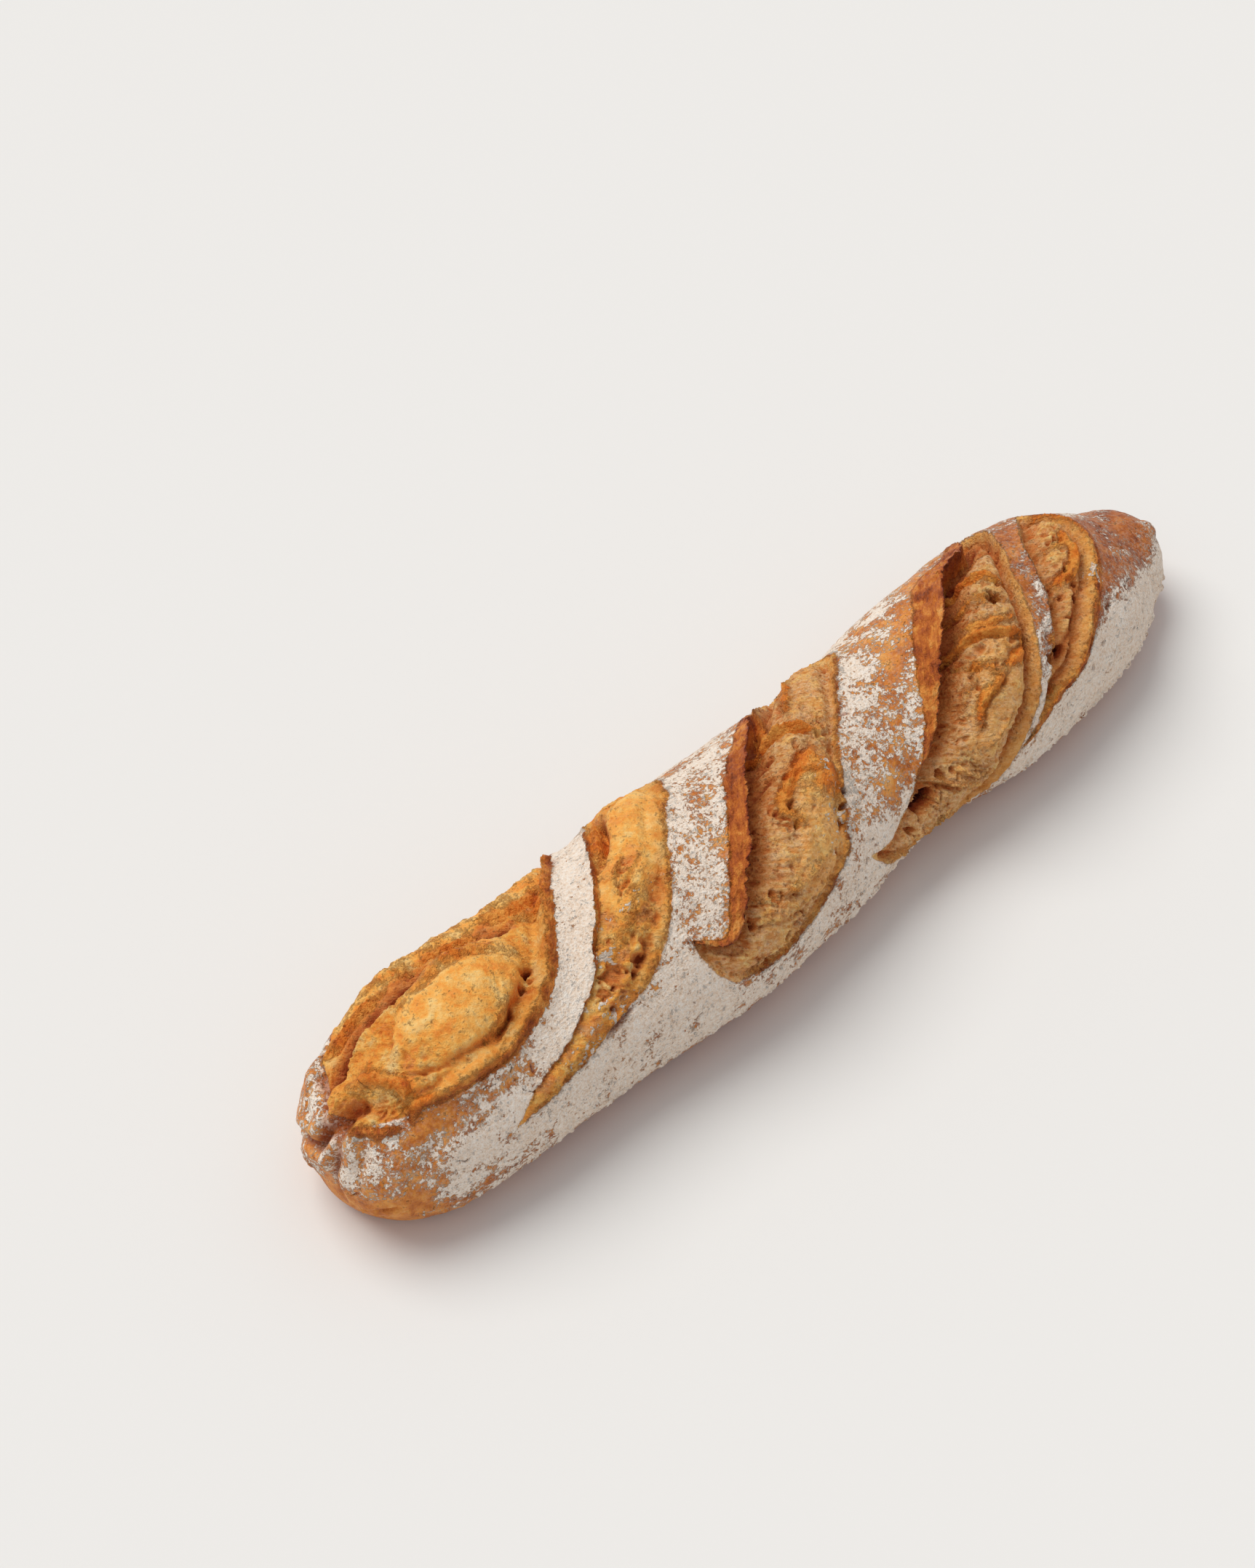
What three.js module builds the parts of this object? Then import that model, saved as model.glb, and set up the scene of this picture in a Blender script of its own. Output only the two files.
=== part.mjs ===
// A rustic baguette lying on its flat underside.
// Millimetres. +X runs along the loaf, +Z is up, and the origin is under its middle.
import * as THREE from "three";
import { mergeVertices } from "three/addons/utils/BufferGeometryUtils.js";

const LENGTH = 380;
const HEIGHT_PER_HALF_WIDTH = 1.56;
const CENTRE_HEIGHT = 0.42; // height of a section's widest line, as a share of its full height
const FLOOR_RADIUS = 3; // soft edge of the flat underside
const BLUNT_END_LENGTH = 30; // rounding of the -X end
const BLUNT_END_FULLNESS = 2;
const TAPERED_END_LENGTH = 40; // rounding of the +X end
const TAPERED_END_FULLNESS = 2.2;
const TIP_HEIGHT = 16; // both tips stand this far off the floor

const STEPS_AROUND = 46;
const STEPS_ALONG = 100;
const SLANT = 46; // how far a ring of corners leans along X, so that it follows the slashes

// Plan of the loaf: position along X, half width, sideways shift of the middle.
const PLAN = [
  [-171, 32, 1],
  [-142, 37, 1.5],
  [-95, 36.5, -1.5],
  [-47, 39.5, -3.5],
  [0, 37.5, -2.5],
  [47, 34, 1.5],
  [95, 38, 0],
  [142, 34.5, 2],
  [171, 25.5, 2.5],
];

// Slashes. Each edge row is the angle from the top in degrees, then X of the opening's two sides.
// The ear stands along the opening's -X side, the crumb swells out of its middle.
const SLASHES = [
  {
    ear: 0.5,
    depth: 2.5,
    swell: 3.5,
    edges: [[-78, -88, -70], [-62, -118, -72], [-48, -147, -75], [-34, -171, -80],
      [-10, -176, -92], [12, -174, -107], [24, -167, -122], [31, -154, -140]],
  },
  {
    ear: 1,
    depth: 3.5,
    swell: 1.5,
    edges: [[-74, -48, -30], [-54, -59, -26], [-26, -66, -33], [-6, -77, -46],
      [15, -94, -64], [38, -119, -95], [56, -133, -119], [72, -143, -140]],
  },
  {
    ear: 3,
    depth: 6,
    swell: 2,
    edges: [[-78, 33, 45], [-63, 24, 53], [-32, 8, 51], [-12, -5, 41], [13, -30, 29],
      [36, -44, 14], [52, -53, 4], [67, -60, -14], [78, -56, -40]],
  },
  {
    ear: 3,
    depth: 6,
    swell: 2,
    edges: [[-74, 110, 124], [-44, 101, 130], [-22, 84, 128], [0, 73, 114], [26, 60, 105],
      [52, 45, 94], [76, 27, 81], [90, 31, 74], [100, 44, 67]],
  },
  {
    ear: 1,
    depth: 4,
    swell: 0.5,
    edges: [[-40, 141, 152], [-18, 133, 157], [8, 125, 154], [23, 121, 145], [38, 116, 136],
      [52, 109, 126], [64, 101, 116], [74, 93, 98]],
  },
];
const CUT_HALF_WIDTH = 8;
const CUT_WALL = 4; // the step from the ear down to the crumb
const EAR_WIDTH = 7;
const TIP_ANGLE = 24; // degrees over which a slash fades out at each end

const FOLD_HEIGHT = 38; // crease round the blunt end, above the knob
const FOLD_DEPTH = 2.5;
const FOLD_WIDTH = 3.5;

function read(table, at, column) {
  const last = table.length - 1;
  if (at <= table[0][0]) {
    return table[0][column];
  }
  if (at >= table[last][0]) {
    return table[last][column];
  }
  let k = 0;
  while (table[k + 1][0] < at) {
    k += 1;
  }
  const before = table[Math.max(k - 1, 0)];
  const from = table[k];
  const to = table[k + 1];
  const after = table[Math.min(k + 2, last)];
  const span = to[0] - from[0];
  const t = (at - from[0]) / span;
  const slopeIn = (to[column] - before[column]) / (to[0] - before[0]);
  const slopeOut = (after[column] - from[column]) / (after[0] - from[0]);
  const blend = t * t * (3 - 2 * t);
  return from[column] * (1 - blend) + to[column] * blend
    + span * t * (1 - t) * ((1 - t) * slopeIn - t * slopeOut);
}

function endRounding(x) {
  const blunt = THREE.MathUtils.clamp((x + LENGTH / 2) / BLUNT_END_LENGTH, 0, 1);
  const tapered = THREE.MathUtils.clamp((LENGTH / 2 - x) / TAPERED_END_LENGTH, 0, 1);
  const near = 1 - (1 - blunt) ** BLUNT_END_FULLNESS;
  const far = 1 - (1 - tapered) ** TAPERED_END_FULLNESS;
  return Math.sqrt(near * far);
}

function onFloor(z) {
  if (z <= -FLOOR_RADIUS) {
    return 0;
  }
  if (z < FLOOR_RADIUS) {
    return (z + FLOOR_RADIUS) ** 2 / (4 * FLOOR_RADIUS);
  }
  return z;
}

// How far the crust stands out from the plain loaf, in the slashes and along their ears.
function slashRelief(x, degrees) {
  let relief = 0;
  for (const slash of SLASHES) {
    const first = slash.edges[0][0];
    const last = slash.edges[slash.edges.length - 1][0];
    if (degrees <= first || degrees >= last) {
      continue;
    }
    const left = read(slash.edges, degrees, 1);
    const right = read(slash.edges, degrees, 2);
    const across = THREE.MathUtils.clamp((x - left) / (right - left), 0, 1);
    const fade = Math.min((degrees - first) / TIP_ANGLE, (last - degrees) / TIP_ANGLE, 1);
    const into = x - left;
    const ear = slash.ear * Math.exp(-((into / EAR_WIDTH) ** 2));
    const rim = Math.min(1, 3 * (1 - across));
    const cut = -rim * slash.depth * Math.exp(-(((into - 6) / CUT_HALF_WIDTH) ** 2));
    const swell = slash.swell * Math.sin(Math.PI * across) ** 2;
    const inside = THREE.MathUtils.smoothstep(into, 0, CUT_WALL);
    relief += fade * (ear * (1 - inside) + (cut + swell) * inside);
  }
  return relief;
}

function foldRelief(x, z) {
  const nearEnd = 1 - THREE.MathUtils.smoothstep(x, -176, -160);
  return -nearEnd * FOLD_DEPTH * Math.exp(-(((z - FOLD_HEIGHT) / FOLD_WIDTH) ** 2));
}

function pointOnLoaf(x, angle) {
  const degrees = THREE.MathUtils.radToDeg(angle);
  const rounding = endRounding(x);
  const halfWidth = read(PLAN, x, 1) * rounding;
  const height = HEIGHT_PER_HALF_WIDTH * read(PLAN, x, 1) * rounding ** 0.8;
  const aboveMiddle = (1 - CENTRE_HEIGHT) * height * Math.cos(angle);
  const plainHeight = CENTRE_HEIGHT * height + aboveMiddle + TIP_HEIGHT * (1 - rounding);
  const relief = rounding * (slashRelief(x, degrees) + foldRelief(x, plainHeight));
  const y = read(PLAN, x, 2) - (halfWidth + relief) * Math.sin(angle);
  const z = onFloor(plainHeight + relief * Math.cos(angle));
  return new THREE.Vector3(x, y, z);
}

function makeLoaf() {
  const ball = new THREE.SphereGeometry(1, STEPS_AROUND, STEPS_ALONG);
  ball.deleteAttribute("normal");
  ball.deleteAttribute("uv");
  const corners = ball.getAttribute("position");
  const corner = new THREE.Vector3();
  for (let i = 0; i < corners.count; i += 1) {
    corner.fromBufferAttribute(corners, i);
    const polar = Math.acos(THREE.MathUtils.clamp(corner.y, -1, 1));
    const angle = Math.atan2(corner.x, corner.z);
    // Rings are spread evenly along the loaf and close up only at its rounded ends.
    const even = 1 - (2 * polar) / Math.PI;
    const spread = (even * (9 - even ** 8)) / 8;
    const x = (LENGTH / 2) * spread;
    const lean = SLANT * Math.sin(angle) * (1 - spread * spread);
    const point = pointOnLoaf(x - lean, angle);
    corners.setXYZ(i, point.x, point.y, point.z);
  }
  const loaf = mergeVertices(ball, 0.001);
  loaf.computeBoundingBox();
  const box = loaf.boundingBox;
  loaf.translate(-(box.min.x + box.max.x) / 2, -(box.min.y + box.max.y) / 2, -box.min.z);
  loaf.computeVertexNormals();
  return loaf;
}

const crust = new THREE.MeshStandardMaterial({ color: 0xb98a5e, roughness: 0.85, metalness: 0 });
const loaf = new THREE.Mesh(makeLoaf(), crust);
loaf.name = "loaf";

const baguette = new THREE.Group();
baguette.name = "baguette";
baguette.add(loaf);

export default baguette;
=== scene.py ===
"""A rustic slashed baguette: floury crust, raised ears and open golden crumb."""

import math

import bmesh
import bpy
import numpy as np
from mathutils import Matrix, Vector


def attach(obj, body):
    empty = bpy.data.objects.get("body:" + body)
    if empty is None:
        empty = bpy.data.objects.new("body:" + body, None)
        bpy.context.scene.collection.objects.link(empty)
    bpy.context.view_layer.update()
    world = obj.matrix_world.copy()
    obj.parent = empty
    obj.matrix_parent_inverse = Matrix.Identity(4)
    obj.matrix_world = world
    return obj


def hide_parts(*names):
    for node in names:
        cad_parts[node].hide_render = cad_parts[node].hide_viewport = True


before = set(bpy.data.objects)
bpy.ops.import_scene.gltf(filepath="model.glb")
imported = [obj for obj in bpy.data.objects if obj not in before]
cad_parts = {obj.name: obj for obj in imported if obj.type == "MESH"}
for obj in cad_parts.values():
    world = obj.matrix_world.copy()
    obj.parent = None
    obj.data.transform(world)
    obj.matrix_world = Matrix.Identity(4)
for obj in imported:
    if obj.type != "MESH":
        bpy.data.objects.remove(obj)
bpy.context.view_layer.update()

# ---------------------------------------------------------------- sizes, in millimetres
MM = 0.001  # in metres
LENGTH = 380.0
HALF_LENGTH = LENGTH / 2
SIDE_SHIFT = 2.2  # brings the loaf's middle over the origin
HEIGHT_PER_HALF_WIDTH = 1.56
CENTRE_HEIGHT = 0.42
FLOOR_RADIUS = 3.0
BLUNT_END_LENGTH = 30.0
BLUNT_END_FULLNESS = 2.0
TAPERED_END_LENGTH = 40.0
TAPERED_END_FULLNESS = 2.2
TIP_HEIGHT = 16.0
MM_PER_DEGREE = 0.66  # along the crust, round the loaf
SLASH_RUN = (-0.68, 0.73)  # the slashes' direction over the crust
STRAP_SLANT = 0.6  # mm along X per degree round the loaf

# How finely the crust is divided: rings along the loaf and corners round it.
FINE_RINGS, FINE_SPOKES = 980, 460
MAX_TRIANGLES = 197000
TOP_SPACING, WIDENING = 0.78, 0.22  # corners round the loaf lie closer on top, wider underneath
LINE_STEPS = 4  # pieces of a smooth line between two of its points
SLASH_REACH = 16.0  # how far a slash changes the crust around it
CREASE_REACH = 14.0  # the same for a crease
UV_MARGIN = 0.01
UV_TURN = 0.94  # share of the map's height that one turn round the loaf takes

# Zones of the crust, in degrees from the top, where each begins and where it is full.
LOW_SIDE = (46, 66)
FAR_SIDE = (55, 80)
UNFLOURED = (100, 128)
UNDERSIDE = (112, 138)
BLUNT_END = (150, 185)  # mm from the middle
SIDE_FLOUR, FAR_FLOUR, SIDE_BAKED, BLUNT_END_LACK = 0.87, 0.62, 0.55, 0.4

# Camera and floor: angles in degrees, and everything else in metres.
CAMERA_ELEVATION = 52.0
CAMERA_HEADING = 44.04
CAMERA_DISTANCE = 1.2555
CAMERA_AIM = (-0.0069, 0.0615, 0.0)
CAMERA_LENS = 85.0  # mm
FLOOR_HALF_SIDE = 12.0

# Plan of the loaf: position along X, half width, sideways shift of the middle.
PLAN = np.array([
    (-171, 32, 1),
    (-142, 37, 1.5),
    (-95, 36.5, -1.5),
    (-47, 39.5, -3.5),
    (0, 37.5, -2.5),
    (47, 34, 1.5),
    (95, 38, 0),
    (142, 34.5, 2),
    (171, 25.5, 2.5),
])

# Slashes. Points are (X, degrees from the top), from the slash's high end to its low end:
# first the side where the ear stands, then the side where the crumb runs up to the crust.
# Shapes along a side are (share of the way, value ...): the ear's height and toasted band, and
# the width of the wall that climbs from the crumb to the crust. The ear's edge leans over by
# lean. The floor dips by under, as far out as reach, and swells in the middle. The wall ends in
# a lip as wide as rim, and has a groove as deep as foot along its bottom. The rim's toast and
# the crumb's gold run from 0 to 1.
SLASHES = [
    dict(  # first, at the blunt end
        ear_side=[(-62, -86), (-92, -82), (-122, -74), (-150, -64), (-170, -46), (-179, -24),
                  (-181, -4), (-179, 14), (-167, 28)],
        crumb_side=[(-62, -86), (-67, -64), (-88, -18), (-98, 1), (-108, 17), (-120, 28),
                    (-137, 36), (-154, 33), (-167, 28)],
        ear_shape=[(0, 0, 0), (1, 0, 0)],
        wall_shape=[(0, 2), (0.2, 3.5), (0.4, 6), (0.75, 7), (0.9, 6), (1, 3)],
        lean=0.0, under=0.5, reach=6.0, swell=1.0, lip=3.0, rim=2.2, foot=1.8,
        rim_toast=0.65, gold=1.0,
    ),
    dict(  # second
        ear_side=[(-50, -80), (-53, -64), (-66, -28), (-75, -10), (-86, 9), (-101, 32),
                  (-117, 47), (-132, 57), (-144, 71)],
        crumb_side=[(-50, -80), (-26, -55), (-31, -30), (-43, -12), (-52, 4), (-66, 28),
                    (-80, 43), (-99, 53), (-118, 63), (-144, 71)],
        ear_shape=[(0, 0.3, 0), (0.3, 1.4, 0.4), (0.6, 1.2, 0), (0.85, 0.8, 0), (1, 0, 0)],
        wall_shape=[(0, 1.5), (0.2, 6), (0.45, 6), (0.65, 4.5), (0.8, 2.5), (1, 1)],
        lean=0.8, under=1.4, reach=5.0, swell=2.4, lip=1.0, rim=1.5, foot=1.0,
        rim_toast=0.3, gold=0.85,
    ),
    dict(  # third
        ear_side=[(36, -82), (20, -56), (1, -27), (-19, 0), (-30, 16), (-44, 36), (-52, 48),
                  (-58, 46), (-64, 40), (-65, 52), (-62, 62), (-56, 74)],
        crumb_side=[(36, -82), (56, -50), (54, -37), (43, -18), (33, -2), (23, 12), (9, 38),
                    (3, 54), (-4, 62), (-14, 70), (-26, 78), (-41, 80), (-56, 74)],
        ear_shape=[(0, 0, 1), (0.14, 0.8, 2.4), (0.31, 3.2, 4), (0.45, 5.0, 4.8), (0.6, 4.8, 4.2),
                   (0.72, 4.2, 3.4), (0.76, 3.0, 2.0), (0.82, 2.0, 0.8), (0.87, 0.4, 0), (1, 0, 0)],
        wall_shape=[(0, 1), (0.2, 5), (0.4, 2), (0.8, 2.2), (1, 1)],
        lean=2.8, under=8.0, reach=8.5, swell=3.0, lip=0.8, rim=1.0, foot=1.6,
        rim_toast=0.4, gold=0.36,
    ),
    dict(  # fourth
        ear_side=[(124, -78), (117, -42), (97, -28), (87, -13), (74, 4), (64, 19), (55, 36),
                  (43, 52), (31, 66), (20, 73), (9, 69)],
        crumb_side=[(124, -78), (132, -50), (126, -24), (117, -2), (111, 15), (107, 28),
                    (99, 47), (91, 63), (83, 78), (74, 94), (62, 103), (50, 108), (38, 104),
                    (26, 96), (16, 84), (9, 69)],
        ear_shape=[(0, 0, 2), (0.15, 1.6, 7), (0.29, 4, 9), (0.37, 5, 9), (0.48, 5, 7),
                   (0.565, 4.0, 5), (0.65, 2.6, 3.0), (0.745, 1.0, 1.0), (0.834, 0.3, 0.2), (1, 0, 0)],
        wall_shape=[(0, 1.5), (0.25, 2.6), (0.4, 3.8), (0.55, 5.5), (0.75, 4), (1, 1.5)],
        lean=3.0, under=8.5, reach=8.5, swell=3.2, lip=1.2, rim=0.8, foot=4.6,
        rim_toast=0.15, gold=0.26,
    ),
    dict(  # fifth, at the tapered end
        ear_side=[(147, -46), (131, -14), (122, 8), (117, 24), (107, 42), (99, 56), (87, 75),
                  (78, 87)],
        crumb_side=[(147, -46), (156, -16), (154, 2), (150, 15), (142, 28), (127, 50),
                    (113, 63), (96, 69), (78, 87)],
        ear_shape=[(0, 0.3, 0), (0.5, 0.8, 0), (1, 0, 0)],
        wall_shape=[(0, 2), (0.3, 5), (0.6, 5), (0.8, 3), (1, 1)],
        lean=0.4, under=4.6, reach=7.0, swell=1.0, lip=1.8, rim=1.6, foot=3.8,
        rim_toast=0.8, gold=0.5,
    ),
]

# Folds in the crumb: points, half width, height, how toasted. A raised fold drops off sharply
# on the right-hand side as one walks along it.
FOLDS = [
    # first opening
    ([(-176, -22), (-164, -33), (-148, -31), (-125, -29), (-104, -27)], 2.4, -6.5, 0.0),
    ([(-168, -33), (-160, -38), (-150, -36)], 1.6, -2.5, 0.0),
    ([(-122, -29), (-112, -27), (-102, -27)], 1.7, -3.5, 0.0),
    ([(-172, -43), (-158, -45), (-145, -42)], 1.2, 1.6, 0.7),
    ([(-134, -42), (-120, -40), (-108, -36)], 1.4, 1.6, 0.8),
    ([(-172, -47), (-150, -51), (-122, -51), (-95, -48), (-80, -52)], 6.5, 2.2, 0.25),
    ([(-146, -18), (-134, -19), (-120, -17), (-111, -8)], 2.2, 1.2, 0.6),
    ([(-103, -44), (-95, -38), (-88, -36), (-82, -40)], 2.2, 2.0, 0.9),
    ([(-98, -26), (-92, -24), (-86, -30)], 1.6, 1.4, 0.8),
    ([(-111, 3), (-117, 11), (-131, 22), (-148, 21), (-158, 16), (-164, 6), (-167, -6)], 1.2, -2.0, 0.1),
    ([(-135, 23), (-128, 19), (-124, 13)], 1.4, 2.2, 0.5),
    # second opening
    ([(-56, -56), (-52, -48), (-57, -34), (-66, -19)], 1.7, -3.6, 0.2),
    ([(-68, -20), (-62, -28), (-55, -44), (-53, -60)], 2.2, 2.0, 0.7),
    ([(-74, 5), (-70, -4), (-62, -12)], 1.0, 1.2, 0.3),
    ([(-74, 2), (-66, -2), (-60, -6)], 1.0, 1.0, 0.2),
    ([(-86, 38), (-75, 30), (-66, 19), (-54, -1)], 1.6, -1.6, 0.1),
    ([(-92, 26), (-82, 20), (-72, 14), (-64, 4)], 2.4, 1.2, 0.35),
    ([(-104, 57), (-97, 54), (-91, 51)], 0.9, -2.6, 0.0),
    # third opening
    ([(-2, -23), (5, -21), (13, -14), (19, -2)], 1.4, 2.4, 1.0),
    ([(22, -58), (15, -40), (9, -27), (2, -18)], 1.5, 1.8, 1.0),
    ([(38, -56), (28, -36), (20, -22)], 1.6, 1.4, 0.7),
    ([(-12, 26), (-5, 15), (3, 8), (14, 2)], 2.0, -1.2, 0.1),
    ([(14, 4), (-2, 10), (-9, 18), (-10, 27)], 1.6, 1.6, 1.0),
    ([(-40, 29), (-34, 38), (-26, 43)], 0.9, -2.0, 0.0),
    ([(-40, 44), (-28, 50), (-16, 52), (-6, 48)], 1.3, 0.9, 0.3),
    ([(-46, 52), (-34, 58), (-20, 60)], 1.2, 0.8, 0.2),
    ([(-6, 0), (2, 8), (9, 16)], 1.0, 0.9, 0.2),
    ([(-14, 2), (-4, 2), (4, 6)], 0.9, -1.2, 0.0),
    ([(4, 10), (9, 19), (14, 30)], 5.0, 0.4, 0.6),
    # fourth opening
    ([(96, -27), (103, -14), (109, 0)], 1.5, 1.9, 1.0),
    ([(88, -10), (97, -2), (106, 9)], 1.6, 1.0, 0.5),
    ([(74, 10), (86, 12), (100, 25)], 1.5, 1.9, 1.0),
    ([(84, 4), (93, 12), (101, 18)], 1.4, 1.0, 0.7),
    ([(100, 25), (98, 32), (86, 36)], 1.4, 1.2, 0.9),
    ([(69, 52), (74, 42), (85, 36)], 1.3, 1.6, 1.0),
    ([(76, 22), (82, 30), (80, 40)], 1.4, 0.8, 0.6),
    ([(101, -26), (114, -25), (123, -22)], 1.6, -4.0, 0.0),
    ([(80, 30), (72, 34), (66, 44)], 1.0, 0.8, 0.3),
    ([(67, 63), (73, 62), (80, 54)], 1.0, 1.4, 0.2),
    ([(43, 61), (51, 71), (62, 84)], 1.3, 2.2, 0.3),
    ([(32, 86), (42, 90), (54, 95)], 1.5, 1.8, 0.3),
    ([(56, 66), (62, 76), (70, 82)], 1.2, 1.4, 0.2),
    # fifth opening
    ([(135, 10), (129, 30), (118, 45), (106, 52)], 1.8, -3.0, 0.1),
    ([(144, 4), (141, 12), (134, 18), (126, 18)], 1.6, 1.8, 1.0),
    ([(146, -8), (142, 2), (133, -2)], 1.2, 1.2, 0.8),
    ([(113, 30), (108, 42), (101, 54)], 1.4, 1.2, 0.4),
    # the crust
    ([(118, -9), (125, -5)], 0.8, -1.0, 0.0),
    ([(-128, 40), (-131, 52), (-133, 60)], 0.7, -0.9, 0.0),
    ([(-150, 38), (-151, 46)], 0.6, -1.0, 0.0),
]

# Creases and torn lips of the blunt end: points, half width in mm, height, how toasted.
CREASES = [
    ([(-164, -58), (-172, -48), (-178, -30), (-181, -16), (-186, -10)], 1.5, -3.2, 0.0),
    ([(-176, 3), (-181, 0), (-185, -6), (-188, -24), (-187, -60), (-184, -88)], 2.0, -5.0, 0.0),
    ([(-189.5, 100), (-189.5, 40), (-186, 13), (-181, 3)], 1.7, -3.0, 0.0),
    ([(-187, 98), (-184, 84), (-181, 82)], 0.9, -1.4, 0.0),
    ([(-181, 15), (-183, 32), (-186, 46)], 1.4, -1.4, 0.0),
    ([(-173, -9), (-169, -4), (-166, 3), (-164, 13), (-166, 19)], 2.2, 3.0, 1.0),
    ([(-182, 4), (-180, 14), (-177, 24), (-172, 29)], 1.5, 1.8, 0.7),
    ([(-178, 0), (-174, 8), (-171, 18)], 3.2, -2.6, 0.0),
    ([(-168, 28), (-164, 25), (-158, 29)], 1.6, 1.4, 1.0),
    ([(-176, 62), (-170, 52), (-160, 46)], 2.4, -1.4, 0.0),
]

# Knobs of the blunt end: X, degrees, radius in mm, height.
KNOBS = [
    (-180, -44, 17, 2.6), (-179, -11, 8, 2.6), (-185, -10, 6, 2.0), (-187, 46, 20, 3.0),
    (-182, 74, 16, 2.4), (-176, 36, 9, 1.4), (-184, 12, 7, 1.6), (-189, -60, 14, 1.5),
    (184, 22, 5, 2.2), (188, 18, 3, 1.6),
]

# Holes: X, degrees, radius, depth.
HOLES = [
    (39, 72, 3.4, 8.0), (43, 71, 2.8, 8.0), (50, 66, 2.0, 3.0), (30, 80, 1.8, 3.0), (102, 5, 2.2, 6.0),
    (-111, 4, 2.0, 3.6), (-116, 11, 1.3, 2.6), (-63, -6, 2.0, 1.3), (-69, 1, 2.2, 1.3),
    (-66, -4, 1.2, 1.6), (-76, 28, 1.8, 1.0), (-82, 34, 1.8, 1.2),
    (-91, 32, 4.2, 2.2), (-97, 36, 2.4, 1.4), (13, 31, 1.2, 3.0), (8, 37, 1.2, 3.2),
    (5, 43, 1.3, 3.4), (-3, 53, 1.3, 3.4), (-25, 64, 1.4, 3.2), (-33, 69, 1.3, 2.6),
    (-46, 72, 1.6, 2.4), (128, 31, 2.2, 2.4), (121, 41, 1.8, 2.2), (111, 48, 2.4, 3.4),
    (105, 48, 2.6, 3.0), (100, 60, 2.6, 3.4), (116, 50, 1.2, 2.0), (-5, 0, 1.6, 2.4),
    (2, -8, 2.0, 2.4), (10, -2, 1.6, 1.8), (132, 24, 1.4, 2.4), (-120, -33, 2.0, 2.0),
    (-158, 6, 1.5, 1.4),
    (137, 47, 0.9, 1.2), (128, 62, 1.1, 1.4), (120, 70, 1.2, 1.4), (150, 44, 0.8, 1.0),
]

# Swellings: X, degrees, half length, half width, slant in degrees, height, smoothness of its skin.
SWELLINGS = [
    (-137, 2, 34, 17.5, 30, 6.8, 0.8),
    (9, 18, 11, 9, 55, 2.6, 0.6),
    (80, 44, 24, 9, 45, 1.6, 0.3),
    (-2, 38, 24, 11, 45, 1.2, 0.5),
    (-56, -18, 30, 11, 42, 2.0, 0.7),
]

# Patches of those skins that tore into open web: X, degrees, radius.
WEBBED = [(-162, 2, 8), (-154, 14, 7), (-120, -16, 5)]

# Flour on the crust, by the X at which a line parallel to the slashes crosses the top.
FLOUR_BY_STRAP = np.array([
    (-200, 0.50), (-176, 0.52), (-150, 0.60), (-108, 0.64), (-95, 0.80), (-85, 0.97),
    (-80, 0.95), (-52, 0.72), (-34, 0.72), (-24, 0.62), (-14, 0.66), (30, 0.76), (44, 0.66),
    (60, 0.52), (80, 0.58),
    (116, 0.42), (130, 0.54), (152, 0.45), (170, 0.43), (200, 0.54),
])
# How deeply the crust is baked, in the same way.
BAKED_BY_STRAP = np.array([
    (-200, 0.1), (-165, 0.2), (-120, 0.4), (-60, 0.2), (0, 0.15), (70, 0.15), (105, 0.55),
    (130, 0.8), (160, 0.9), (200, 0.85),
])

# Bare or floury spots: X, degrees, half length, half width, change in flour.
FLOUR_SPOTS = [
    (-184, 88, 12, 12, -0.45), (-166, 38, 9, 4, -0.35), (-150, 92, 20, 7, -0.3),
    (-52, 80, 7, 6, -0.25), (30, 52, 8, 6, -0.2), (60, -6, 10, 8, -0.12), (150, 64, 34, 12, 0.4),
    (172, 10, 14, 10, -0.1), (-100, 90, 30, 6, -0.12), (-178, -34, 8, 14, 0.1),
    (-187, 40, 10, 12, 0.1), (-20, 96, 40, 5, -0.15), (-70, 60, 12, 8, 0.12),
]

# Flour that fell into the openings: X, degrees, half length, half width, how much.
SPILLS = [
    (-89, 22, 4, 3, 1.0), (-98, 47, 9, 6, 0.75), (-112, 57, 12, 5, 0.55), (6, 42, 12, 9, 0.5),
    (10, 18, 8, 7, 0.3), (-72, 8, 16, 3, 0.35), (141, 27, 3, 3, 0.8),
]


# ---------------------------------------------------------------- curves and noise
# Multipliers that stir a lattice point's whole coordinates into even bits.
STIR = tuple(np.uint32(k) for k in (374761393, 668265263, 2246822519, 1274126177, 2654435761))
STIR_SEED = 3266489917
TEN_BITS = np.uint32(1023)
TWELVE_BITS = np.uint32(4095)


def ease(value, start, end):
    """0 before start, 1 after end, smooth between."""
    t = np.clip((value - start) / (end - start), 0.0, 1.0)
    return t * t * (3 - 2 * t)


def bell(value, width):
    """1 at 0, falling off to about a third at the given width."""
    return np.exp(-((value / width) ** 2))


def fullness(along, least):
    """How full a fold or crease is along its length: least at its ends, 1 in its middle."""
    return least + (1 - least) * np.sin(np.pi * np.clip(along, 0.02, 0.98)) ** 0.5


def lattice_bits(ix, iy, iz, seed):
    bits = ix * STIR[0] + iy * STIR[1]
    bits = bits + iz * STIR[2] + np.uint32(seed * STIR_SEED % 2 ** 32)
    bits = (bits ^ (bits >> np.uint32(13))) * STIR[3]
    bits = (bits ^ (bits >> np.uint32(16))) * STIR[4]
    return bits ^ (bits >> np.uint32(15))


def lattice_cell(points):
    """Each point's cell in the lattice, and its place within the cell."""
    low = np.floor(points)
    return low.astype(np.int64).astype(np.uint32), (points - low).astype(np.float32)


def ten_bits(bits, axis):
    """One axis's share of a lattice point's bits, 0 to 1023."""
    return ((bits >> np.uint32(10 * axis)) & TEN_BITS).astype(np.float32)


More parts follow.
